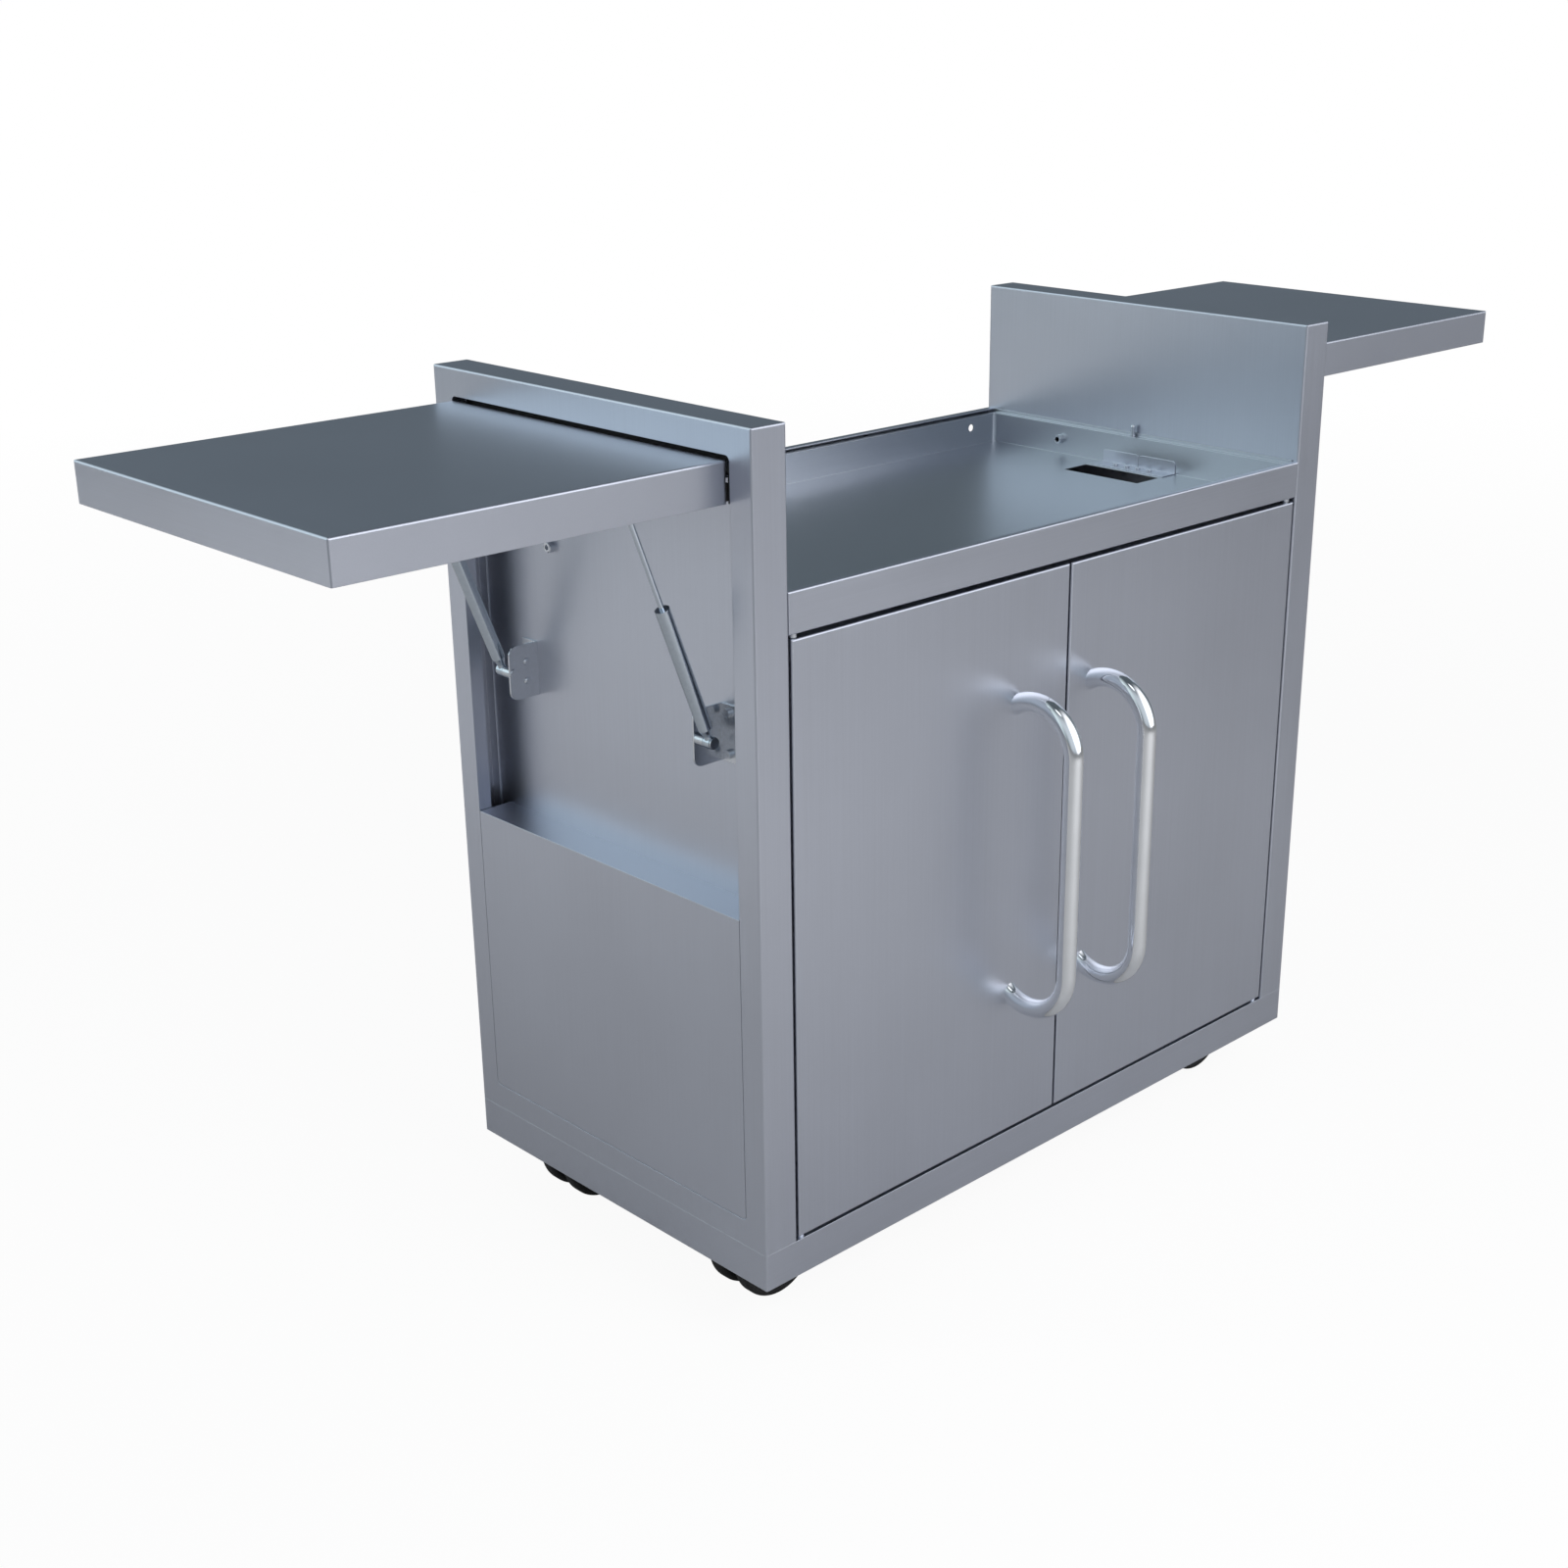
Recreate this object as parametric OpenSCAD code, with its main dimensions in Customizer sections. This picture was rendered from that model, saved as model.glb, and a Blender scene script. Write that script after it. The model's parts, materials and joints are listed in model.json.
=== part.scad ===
// Griddle cart: a folded stainless cabinet on twin-wheel casters, with a sunk tray between two
// side towers, two pivot-hung doors and two side shelves that fold down on gas struts.
// All sizes are in millimetres, +Z is up, the ground is Z = 0 and the doors face -Y.
// The origin lies on the ground under the middle of the whole cart, handles included.

/* [Cart body] */
// Width over the two side towers
body_w = 860; // [820:1:960]
// Depth from the front face to the back face
body_d = 464; // [460:1:560]
// Height of the tower tops above the ground
tower_h = 916; // [890:1:960]
// Thickness of each side tower
tower_t = 41; // [40:0.5:50]
// Gauge of the folded sheet
sheet = 1.2; // [0.8:0.1:1.5]
// Outside radius of the folds
fold_r = 2; // [1.8:0.1:3]
// Width of the folded-in lips that carry the panels
lip_w = 12; // [8:1:16]

/* [Plinth] */
// Height of the plinth's lower edge above the ground
plinth_gap = 65; // [58:1:66]
// Height of the plinth band
plinth_h = 40; // [38:1:46]
// Width of the plinth's top flange along the front and the back
plinth_lip = 22; // [22:1:30]

/* [Casters] */
// Diameter of the wheels
wheel_d = 100; // [90:1:101]
// Width of one wheel
wheel_w = 18; // [14:1:19]
// Clear gap between the two wheels of a caster
wheel_gap = 20.5; // [18:0.5:22]
// Height from the ground to the top of the caster plate
caster_h = 125; // [124:1:130]
// Distance from the cart's side to the swivel axis
caster_inset_x = 110; // [104:1:130]
// Distance from the cart's front or back to the swivel axis
caster_inset_y = 91; // [91:1:120]
// Distance from the swivel axis to the axle
caster_trail = 34; // [30:1:35]
// Diameter of the axle
axle_d = 10; // [8:1:12]
// Diameter of the swivel pin
kingpin_d = 12; // [10:1:14]

/* [Worktop] */
// Distance from the tower tops down to the top of the front rail
deck_drop = 150.6; // [140:0.2:176]
// Height of the front rail's face
rail_h = 40.2; // [40:0.2:50]
// Depth of the tray from its flange to its floor
tray_depth = 34.6; // [24:0.2:35]
// Width of the tray's side flanges
tray_flange = 10; // [10:1:16]
// Length of the slot in the tray's floor
slot_l = 109; // [80:1:140]
// Width of the slot in the tray's floor
slot_w = 41; // [30:1:44]

/* [Doors] */
// Depth of the door pans
door_t = 18; // [16:1:20]
// Gap between a door and the tower beside it
door_gap = 3.4; // [3.2:0.2:4]
// Gap between the doors and the rail above them
door_top_gap = 4.4; // [3:0.2:6]
// Diameter of the door pivot pins
door_pin_d = 6; // [4:0.5:7]

/* [Handles] */
// Diameter of the handle tube
handle_d = 20; // [16:1:24]
// Distance from the door's face to the middle of the grip
handle_reach = 75; // [65:1:90]
// Bend radius of the tube's middle line
handle_bend = 50; // [46:1:60]
// Height of the handle's middle line, lowest point to highest
handle_l = 334; // [240:1:400]
// Distance from a door's top edge down to the highest point of the handle's middle line
handle_drop = 123.8; // [80:0.2:200]
// Distance from the middle of the cart to the left handle
left_handle_x = 77; // [40:1:120]
// Distance from the middle of the cart to the right handle
right_handle_x = 38.5; // [36:0.5:120]

/* [Side shelves] */
// Length that a shelf stands out from its tower
shelf_l = 394.7; // [320:1:400]
// Width of the tower's face in front of a shelf, and behind it
post_w = 32; // [30:0.5:40]
// Distance from the tower's top down to the shelf's surface
shelf_drop = 31.7; // [28:0.5:40]
// Distance of the fold axis from the tower's face and from the shelf's surface
hinge_inset = 8.5; // [8.2:0.1:9]
// Diameter of the shelf pivot pins
shelf_pin_d = 8; // [6:0.5:8]
// Gap beside the shelf in its opening
shelf_gap = 3.5; // [3:0.1:6]
// Gap between the tip of the folded shelf and the ledge below it
ledge_gap = 18.9; // [12:0.1:40]
// Height of the lower panel's bottom seam
panel_z = 134; // [124:1:160]

/* [Gas struts] */
// Diameter of the cylinder
strut_d = 14; // [12:0.5:15]
// Diameter of the rod
rod_d = 5; // [4:0.5:6]
// Distance from a strut's middle plane to the side of the shelf
strut_inset = 42; // [40:1:60]
// Depth of the lower pivot below the fold axis
strut_foot_drop = 260.3; // [254:0.1:264]
// Depth of the lower pivot behind the tower's face
strut_foot_in = 9.5; // [9.5:0.5:12]
// Distance from the fold axis out to the upper pivot
strut_head_u = 94; // [90:1:96]
// Depth of the upper pivot below the fold axis
strut_head_v = 9.8; // [8:0.2:12]
// Length from the lower pivot to the end of the cylinder
cylinder_l = 145.7; // [138:1:148]

/* [Hidden] */
$fn = 64;
over = 1;

// Clearances
pin_play = 0.05;
bolt_play = 0.3;
face_play = 0.3;
seat_gap = 0.1;

// Cabinet
half_w = body_w / 2;
half_d = body_d / 2;
inner_x = half_w - tower_t;
deck_h = tower_h - deck_drop;
rail_z = deck_h - rail_h;
plinth_top = plinth_gap + plinth_h;
plinth_t = 1.5;
plinth_side = 46;
floor_rise = 1.2;
floor_set_back = 3;
vent_l = 60;
vent_w = 6;
vent_pitch_x = 100;
vent_pitch_z = 18;
vent_columns = 3;
vent_rows = 6;
vent_drop = 205.2;
vent_z = rail_z - vent_drop;

// Opening that a folded shelf closes, and the panel below it
panel_seam = 0.8;
opening_r = 5;
top_gap = 4;
reveal = 15.5;
shelf_w = body_d - 2 * post_w;
shelf_top = tower_h - shelf_drop;
hinge_x = half_w - hinge_inset;
hinge_z = shelf_top - hinge_inset;
ledge_z = hinge_z - hinge_inset - shelf_l - ledge_gap;
opening_top = shelf_top + top_gap;
opening_y = shelf_w / 2 + shelf_gap;

// Rails and tray
rail_lip = 6;
rail_foot = 42;
rear_lip = 11;
rear_foot = 16;
rear_rise = 1.1;
tray_drop = 2.4;
tray_z = deck_h - tray_drop;
tray_floor = tray_z - tray_depth;
tray_x = inner_x - tray_flange;
tray_front = -half_d + rail_lip + sheet;
tray_back_gap = 20;
tray_back = half_d - tray_back_gap;
tray_r = 5;
tray_upstand = 3.5;
tray_side_gap = 0.5;
tray_lip = 3.8;
tray_rear_lip = 7.3;
rest_w = 8;
rest_h = 20;
rest_t = 1.5;
rest_inset = 27;
rest_l = body_d - 2 * rest_inset;

// Slot, flaps and fittings in the tray
slot_inset = 48.5;
slot_x = tray_x - slot_inset;
slot_y = -14.5;
flap_t = 1;
flap_h = 15;
flap_r = 4;
flap_foot = 24;
flap_l = 53.5;
flap_gap = 0.4;
flap_split_y = -17;
flap_screw_d = 3;
flap_screw_x = 13;
flap_screw_y = [8, 25];
screw_head_d = 7;
screw_head_h = 2;
hose_hole_inset = 43;
hose_hole_rise = 21.6;
hose_hole_x = tray_x - hose_hole_inset;
hose_hole_z = tray_floor + hose_hole_rise;
hose_hole_d = 9;
wall_hole_inset = 32;
wall_hole_drop = 20.9;
wall_hole_x = inner_x - wall_hole_inset;
wall_hole_z = deck_h - wall_hole_drop;
wall_hole_d = 16;
bush_inset = 108;
bush_rise = 17.6;
bush_y = tray_back - bush_inset;
bush_z = tray_floor + bush_rise;
bush_d = 11;
bush_bore = 6;
bush_reach = 7;
bush_nut_d = 15;
bush_nut_t = 3;
locating_inset = 5.6;
locating_x = inner_x - locating_inset;
locating_y = -2.5;
locating_d = 5.5;
locating_rise = 14;
locating_collar_d = 7.2;
locating_collar_h = 2;

// Casters
caster_x = half_w - caster_inset_x;
caster_y = half_d - caster_inset_y;
plate_l = 92;
plate_w = 72;
plate_t = 3;
plate_bolt_d = 8;
plate_bolt_x = 36;
plate_bolt_y = 26;
bolt_head_d = 13;
bolt_head_h = 4;
head_clear = 3;
head_d = 52;
head_z = wheel_d + head_clear;
head_top = caster_h - plate_t - face_play;
kingpin_in = 15;
hub_side_gap = 0.75;
hub_t = wheel_gap - 2 * hub_side_gap;
hub_r = 14;
neck_r = 17;
neck_x = 5;
tread_t = 12;
shoulder_r = 5;
dish = 5;
boss_r = 13;

// Doors
door_foot_gap = 3;
door_split = 3;
door_top = rail_z - door_top_gap;
door_foot = plinth_top + door_foot_gap;
door_edge = inner_x - door_gap;
door_back = -half_d + door_t;
door_lip = 4;
door_bush_d = 11;
door_bush_l = 18;
door_axis_x = door_edge - sheet - seat_gap - door_bush_d / 2;
door_axis_y = -half_d + sheet + face_play + door_bush_d / 2;
door_pin_in = 15;
collar_d = 9;
magnet_w = 24;
magnet_h = 12;
magnet_d = 13;
magnet_x = 8;
magnet_gap = 0.6;

// Handles
handle_z = door_top - handle_drop - handle_l;
handle_centre_y = -half_d - handle_reach + handle_bend;
handle_low = handle_z + handle_bend;
handle_high = handle_z + handle_l - handle_bend;
handle_foot = sqrt(pow(handle_bend, 2) - pow(handle_reach - handle_bend, 2));
handle_screw_d = 6;
handle_screw_l = 8;
handle_screw_head_d = 11;
handle_screw_head_h = 3;

// Shelves
shelf_play = 1.4;
shelf_h = tower_t - sheet - shelf_play;
shelf_skin = shelf_top - sheet;
shelf_tip = half_w + shelf_l;
hem_w = 12;
arm_t = 3;
arm_r = 7.2;
arm_in = 58;
notch_play = 0.5;
washer_d = 14;
pin_head_d = 14;
pin_head_t = 3;
stiff_w = 40;
stiff_flange = 10;
stiff_h = 12;
stiff_inset = 30;

// Gas struts and their brackets
strut_y = shelf_w / 2 - strut_inset;
strut_foot_z = hinge_z - strut_foot_drop;
foot_x = half_w - strut_foot_in;
head_x = hinge_x + strut_head_u;
head_z_up = hinge_z - strut_head_v;
strut_lean = atan2(head_x - foot_x, head_z_up - strut_foot_z);
strut_open = norm([head_x - foot_x, head_z_up - strut_foot_z]);
strut_wall = 1.5;
strut_plug = 20;
strut_neck = 8;
strut_cone = 16;
eye_r = 6;
eye_w = 9;
neck_d = 8;
gland_l = 7;
piston_l = 8;
piston_play = 0.3;
rod_inside = 20;
socket_l = 14;
socket_d = 9;
head_eye_r = 5;
head_eye_w = 8;
head_pin_d = 6;
bracket_t = 2;
bracket_gap = 16.2;
bracket_r = 9;
bracket_out = 36;
bracket_half_h = 28;
bracket_leg = 23;
bracket_bolt_z = 20;
bracket_bolt_y = 6;
bracket_bolt_d = 5;
bracket_head_d = 9;
bracket_head_h = 3.5;
bracket_nut_h = 3;
bracket_hole_d = 5.5;
bracket_hole_in = 15.4;
bracket_hole_z = 10;
rivet_head_d = 6;
rivet_head_h = 1.2;
stud_d = 8;
stud_shoulder_d = 12;
stud_rivet_d = 10;
stud_rivet_h = 1.2;
stud_clip_d = 11;
stud_clip_t = 1.5;
shelf_bracket_l = 32;
shelf_bracket_in = 14;
shelf_bracket_drop = 20;
shelf_bracket_leg = 20;
bumper_inset = 95.5;
bumper_drop = 128.8;
bumper_y = opening_y - bumper_inset;
bumper_z = hinge_z - bumper_drop;
bumper_w = 12;
bumper_d = 8;
bumper_h = 9;

steel = [0.66, 0.68, 0.71];
dark_steel = [0.42, 0.46, 0.50];
chrome = [0.86, 0.88, 0.90];
zinc = [0.74, 0.76, 0.78];
black = [0.06, 0.06, 0.07];
rubber = [0.12, 0.12, 0.13];
white_nylon = [0.82, 0.82, 0.80];

// Pieces are drawn about the cabinet's middle plane, which the handles set back from the origin
module placed() {
    translate([0, (handle_reach + handle_d / 2) / 2, 0]) children();
}

// Pieces are drawn for the right side and the rear, and mirrored for the left and the front
module on_left() {
    mirror([1, 0, 0]) children();
}
module on_front() {
    mirror([0, 1, 0]) children();
}
module both_sides() {
    children();
    on_left() children();
}
module both_ends() {
    children();
    on_front() children();
}

// Box between two opposite corners
module block(low, high) {
    translate(low) cube(high - low);
}

// Rectangle between two opposite corners
module rect(low, high) {
    translate(low) square(high - low);
}

// The same rectangle with round corners
module round_rect(low, high, r) {
    rect([low.x + r, low.y], [high.x - r, high.y]);
    rect([low.x, low.y + r], [high.x, high.y - r]);
    for (x = [low.x + r, high.x - r], y = [low.y + r, high.y - r]) translate([x, y]) circle(r = r);
}

// An outline drawn in X and Y, extruded from one height to another
module upright(low, high) {
    translate([0, 0, low]) linear_extrude(high - low) children();
}

// An outline drawn in Y and Z, extruded from one X to another
module along_x(low, high) {
    translate([low, 0, 0]) rotate([90, 0, 90]) linear_extrude(high - low) children();
}

// An outline drawn in X and Z, extruded from one Y to another
module along_y(low, high) {
    translate([0, high, 0]) rotate([90, 0, 0]) linear_extrude(high - low) children();
}

// Round bars along each axis, from one place to another
module rod_x(y, z, low, high, d) {
    translate([low, y, z]) rotate([0, 90, 0]) cylinder(d = d, h = high - low);
}
module rod_y(x, z, low, high, d) {
    translate([x, low, z]) rotate([-90, 0, 0]) cylinder(d = d, h = high - low);
}
module rod_z(x, y, low, high, d) {
    translate([x, y, low]) cylinder(d = d, h = high - low);
}

// Block whose upright edges and top edges are folds
module top_folded(low, high, r) {
    intersection() {
        upright(low.z, high.z) round_rect([low.x, low.y], [high.x, high.y], r);
        along_y(low.y, high.y) round_rect([low.x, low.z - 2 * r], [high.x, high.z], r);
        along_x(low.x, high.x) round_rect([low.y, low.z - 2 * r], [high.y, high.z], r);
    }
}

// Block whose four front edges are folds
module front_folded(low, high, r) {
    intersection() {
        upright(low.z, high.z) round_rect([low.x, low.y], [high.x, high.y + 2 * r], r);
        along_x(low.x, high.x) round_rect([low.y, low.z], [high.y + 2 * r, high.z], r);
        block(low, high);
    }
}

// Cabinet

module opening_outline(grow) {
    round_rect([-opening_y - grow, panel_z - panel_seam - grow],
        [opening_y + grow, opening_top + grow], opening_r + grow);
}

module tower_shell() {
    color(steel) difference() {
        union() {
            difference() {
                top_folded([inner_x, -half_d, plinth_top], [half_w, half_d, tower_h], fold_r);
                block([inner_x + 2 * sheet, -half_d + sheet, plinth_top - over],
                    [half_w - sheet, half_d - sheet, tower_h - sheet]);
                block([inner_x - over, -half_d + fold_r, plinth_top - over],
                    [inner_x + sheet, half_d - fold_r, tower_h - fold_r]);
                block([inner_x - over, -half_d + sheet + lip_w, plinth_top - over],
                    [inner_x + 2 * sheet + over, half_d - sheet - lip_w, tower_h - sheet - lip_w]);
            }
            along_x(half_w - reveal, half_w) intersection() {
                opening_outline(sheet);
                rect([-half_d, ledge_z], [half_d, tower_h]);
            }
        }
        along_x(half_w - reveal - over, half_w + over) opening_outline(0);
        both_ends() rod_y(hinge_x, hinge_z, opening_y - over, opening_y + sheet + over,
            shelf_pin_d + 2 * pin_play);
    }
}

module tower_liner() {
    color(steel) difference() {
        block([inner_x, -half_d + fold_r, plinth_top], [inner_x + sheet, half_d - fold_r, tower_h - fold_r]);
        bracket_bolt_places() rod_x(0, 0, -over, sheet + over, bracket_bolt_d + 2 * bolt_play);
    }
}

module tower_liners() {
    both_sides() tower_liner();
}

// Flush panel with a joggled edge behind the shell and a ledge at its top
module lower_panel() {
    side = opening_y - panel_seam;
    color(steel) {
        along_x(half_w - sheet, half_w) intersection() {
            round_rect([-side, panel_z], [side, ledge_z + 2 * opening_r], opening_r - panel_seam);
            rect([-side, panel_z], [side, ledge_z]);
        }
        along_x(half_w - 2 * sheet, half_w - sheet) difference() {
            rect([-opening_y - lip_w, panel_z - lip_w], [opening_y + lip_w, ledge_z - sheet]);
            rect([-opening_y + lip_w, panel_z + lip_w], [opening_y - lip_w, ledge_z]);
        }
        block([inner_x + sheet, -side, ledge_z - sheet], [half_w - sheet, side, ledge_z]);
        block([inner_x + sheet, -side, ledge_z - sheet - lip_w],
            [inner_x + 2 * sheet, side, ledge_z - sheet]);
    }
}

module lower_panels() {
    both_sides() lower_panel();
}

module plinth() {
    color(dark_steel) difference() {
        upright(plinth_gap, plinth_top) round_rect([-half_w, -half_d], [half_w, half_d], fold_r);
        block([-half_w + plinth_t, -half_d + plinth_t, plinth_gap - over],
            [half_w - plinth_t, half_d - plinth_t, plinth_top - plinth_t]);
        block([-half_w + plinth_side, -half_d + plinth_lip, plinth_gap - over],
            [half_w - plinth_side, half_d - plinth_lip, plinth_top + over]);
        both_sides() rod_z(door_axis_x, door_axis_y, plinth_top - plinth_t - over, plinth_top + over,
            door_pin_d + 2 * pin_play);
    }
}

// Cabinet floor: an inverted pan that stands on the plinth and takes the caster plates
module base_floor() {
    front = -half_d + door_t + floor_set_back;
    back = half_d - sheet;
    color(steel) difference() {
        block([-inner_x, front, plinth_top], [inner_x, back, caster_h + floor_rise]);
        block([-inner_x + sheet, front + sheet, plinth_top - over],
            [inner_x - sheet, back - sheet, caster_h]);
        caster_bolt_places() rod_z(0, 0, caster_h - over, caster_h + floor_rise + over,
            plate_bolt_d + 2 * bolt_play);
    }
}

module back_panel() {
    low = caster_h + floor_rise + face_play;
    high = rail_z + rear_rise;
    color(steel) difference() {
        union() {
            block([-inner_x, half_d - sheet, plinth_top], [inner_x, half_d, high]);
            both_sides() block([inner_x - sheet, half_d - sheet - lip_w, low],
                [inner_x, half_d - sheet, high]);
        }
        along_y(half_d - sheet - over, half_d + over)
            for (column = [0:vent_columns - 1], row = [0:vent_rows - 1])
                translate([(column - (vent_columns - 1) / 2) * vent_pitch_x, vent_z + row * vent_pitch_z]) {
                    square([vent_l - vent_w, vent_w], center = true);
                    for (side = [-1, 1]) translate([side * (vent_l - vent_w) / 2, 0]) circle(d = vent_w);
                }
    }
}

// Channel section with its face to the front, a short top lip and a longer foot
module rail_outline(top_lip, foot) {
    middle = rail_z + rail_h / 2;
    intersection() {
        difference() {
            round_rect([-half_d, rail_z], [-half_d + 2 * foot, deck_h], fold_r);
            rect([-half_d + sheet, rail_z + sheet], [-half_d + 2 * foot + over, deck_h - sheet]);
        }
        union() {
            rect([-half_d, rail_z], [-half_d + foot, middle]);
            rect([-half_d, rail_z], [-half_d + top_lip, deck_h]);
        }
    }
}

module front_rail() {
    color(steel) difference() {
        along_x(-inner_x, inner_x) rail_outline(rail_lip, rail_foot);
        both_sides() rod_z(door_axis_x, door_axis_y, rail_z - over, rail_z + sheet + over,
            door_pin_d + 2 * pin_play);
    }
}

module rear_rail() {
    color(steel) difference() {
        translate([0, 0, rear_rise]) on_front() along_x(-inner_x, inner_x) rail_outline(rear_lip, rear_foot);
        rod_y(wall_hole_x, wall_hole_z, half_d - sheet - over, half_d + over, wall_hole_d);
    }
}

// Angles on the tower liners that carry the tray's side flanges
module tray_rest() {
    top = tray_z - sheet;
    block([inner_x - rest_w, -rest_l / 2, top - rest_t], [inner_x, rest_l / 2, top]);
    block([inner_x - rest_t, -rest_l / 2, top - rest_h], [inner_x, rest_l / 2, top]);
}

module tray_rests() {
    color(steel) both_sides() tray_rest();
}

module tray_cavity(low, high, grow) {
    upright(low, high) round_rect([-tray_x - grow, tray_front - grow], [tray_x + grow, tray_back + grow],
        tray_r + grow);
}

module griddle_tray() {
    edge = inner_x - tray_side_gap;
    front = tray_front - sheet - tray_lip;
    back = tray_back + sheet + tray_rear_lip;
    color(dark_steel) difference() {
        union() {
            tray_cavity(tray_floor - sheet, tray_z, sheet);
            block([-edge, front, tray_z - sheet], [edge, back, tray_z]);
            both_sides() block([edge - sheet, tray_front, tray_z - sheet],
                [edge, back, tray_z + tray_upstand]);
        }
        tray_cavity(tray_floor, tray_z + over, 0);
        block([slot_x - slot_w / 2, slot_y - slot_l / 2, tray_floor - sheet - over],
            [slot_x + slot_w / 2, slot_y + slot_l / 2, tray_floor + over]);
        rod_y(hose_hole_x, hose_hole_z, tray_back - over, tray_back + sheet + over, hose_hole_d);
        rod_x(bush_y, bush_z, tray_x - over, tray_x + sheet + over, bush_d + 2 * pin_play);
        both_sides() rod_z(locating_x, locating_y, tray_z - sheet - over, tray_z + over,
            locating_d + 2 * pin_play);
        flap_screw_places() rod_z(0, 0, tray_floor - sheet - over, tray_floor + over,
            flap_screw_d + 2 * bolt_play);
    }
}

// Bent plates that stand against the tray's right wall beside the slot
module slot_flap(low_y) {
    wall = tray_x;
    high_y = low_y + flap_l;
    difference() {
        union() {
            along_x(wall - flap_t, wall) intersection() {
                round_rect([low_y, tray_floor - flap_h], [high_y, tray_floor + flap_h], flap_r);
                rect([low_y, tray_floor], [high_y, tray_floor + flap_h]);
            }
            block([wall - flap_foot, low_y, tray_floor], [wall, high_y, tray_floor + flap_t]);
        }
        flap_screw_places() rod_z(0, 0, tray_floor - over, tray_floor + flap_t + over,
            flap_screw_d + 2 * bolt_play);
    }
}

module slot_flaps() {
    color(steel) {
        slot_flap(flap_split_y + flap_gap / 2);
        slot_flap(flap_split_y - flap_gap / 2 - flap_l);
    }
}

module flap_screw_places() {
    for (side = [-1, 1], y = flap_screw_y)
        translate([tray_x - flap_screw_x, flap_split_y + side * y, 0]) children();
}

module flap_screws() {
    color(zinc) flap_screw_places() {
        rod_z(0, 0, tray_floor - sheet - screw_head_h, tray_floor + flap_t + screw_head_h, flap_screw_d);
        rod_z(0, 0, tray_floor + flap_t, tray_floor + flap_t + screw_head_h, screw_head_d);
        rod_z(0, 0, tray_floor - sheet - screw_head_h, tray_floor - sheet, screw_head_d);
    }
}

module hose_bushing() {
    wall = tray_x + sheet;
    color(zinc) difference() {
        union() {
            rod_x(bush_y, bush_z, tray_x - bush_reach, wall + bush_nut_t, bush_d);
            rod_x(bush_y, bush_z, wall, wall + bush_nut_t, bush_nut_d);
        }
        rod_x(bush_y, bush_z, tray_x - bush_reach - over, wall + bush_nut_t + over, bush_bore);
    }
}

module locating_pins() {
    dome_z = tray_z + locating_rise - locating_d / 2;
    color(zinc) both_sides() {
        rod_z(locating_x, locating_y, tray_z - sheet, dome_z, locating_d);
        rod_z(locating_x, locating_y, tray_z, tray_z + locating_collar_h, locating_collar_d);
        translate([locating_x, locating_y, dome_z]) sphere(d = locating_d);
    }
}

// Doors and their fittings

module door_pivot_pins() {
    color(zinc) both_sides() {
        rod_z(door_axis_x, door_axis_y, door_top - door_pin_in, rail_z + sheet, door_pin_d);
        rod_z(door_axis_x, door_axis_y, door_top + face_play, rail_z, collar_d);
        rod_z(door_axis_x, door_axis_y, plinth_top - plinth_t, door_foot + door_pin_in, door_pin_d);
        rod_z(door_axis_x, door_axis_y, plinth_top, door_foot - face_play, collar_d);
    }
}

module door_magnets() {
    front = door_back + magnet_gap;
    color(rubber) both_sides() block([magnet_x, front, rail_z - magnet_h],
        [magnet_x + magnet_w, front + magnet_d, rail_z]);
}

module door_skin(handle_x) {
    left = door_split / 2;
    color(steel) difference() {
        front_folded([left, -half_d, door_foot], [door_edge, door_back, door_top], fold_r);
        block([left + sheet, -half_d + sheet, door_foot + sheet],
            [door_edge - sheet, door_back + over, door_top - sheet]);
        rod_z(door_axis_x, door_axis_y, door_foot - over, door_top + over, door_bush_d + 2 * pin_play);
        handle_screw_places(handle_x) rod_y(0, 0, -over, sheet + over, handle_screw_d + 2 * pin_play);
    }
}

module door_liner() {
    low = [door_split / 2 + sheet, door_back - sheet - door_lip, door_foot + sheet];
    high = [door_edge - sheet, door_back, door_top - sheet];
    color(steel) difference() {
        block(low, high);
        block([low.x + sheet, low.y - over, low.z + sheet], [high.x - sheet, high.y - sheet, high.z - sheet]);
    }
}

module door_bushes() {
    color(black) difference() {
        union() {
            rod_z(door_axis_x, door_axis_y, door_top - door_bush_l, door_top, door_bush_d);
            rod_z(door_axis_x, door_axis_y, door_foot, door_foot + door_bush_l, door_bush_d);
        }
        rod_z(door_axis_x, door_axis_y, door_foot - over, door_top + over, door_pin_d + 2 * pin_play);
    }
}

module handle_screw_places(handle_x) {
    for (z = [handle_low - handle_foot, handle_high + handle_foot])
        translate([handle_x, -half_d, z]) children();
}

// Bent tube whose ends turn back towards each other and stand flush on the door
module handle(handle_x) {
    far = handle_bend + handle_d;
    grip_y = -half_d - handle_reach;
    color(chrome) difference() {
        union() {
            rod_z(handle_x, grip_y, handle_low, handle_high, handle_d);
            for (end = [[handle_low, -1], [handle_high, 1]]) intersection() {
                translate([handle_x, handle_centre_y, end.x]) rotate([0, 90, 0]) rotate_extrude()
                    translate([handle_bend, 0]) circle(d = handle_d);
                block([handle_x - handle_d, handle_centre_y - far, end.x + min(end.y * far, 0)],
                    [handle_x + handle_d, -half_d, end.x + max(end.y * far, 0)]);
            }
        }
        handle_screw_places(handle_x) rod_y(0, 0, -handle_screw_l - bolt_play, over,
            handle_screw_d + 2 * pin_play);
    }
}

module handle_screws(handle_x) {
    color(zinc) handle_screw_places(handle_x) {
        rod_y(0, 0, -handle_screw_l, sheet + handle_screw_head_h, handle_screw_d);
        rod_y(0, 0, sheet, sheet + handle_screw_head_h, handle_screw_head_d);
    }
}

// Shelves

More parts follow.
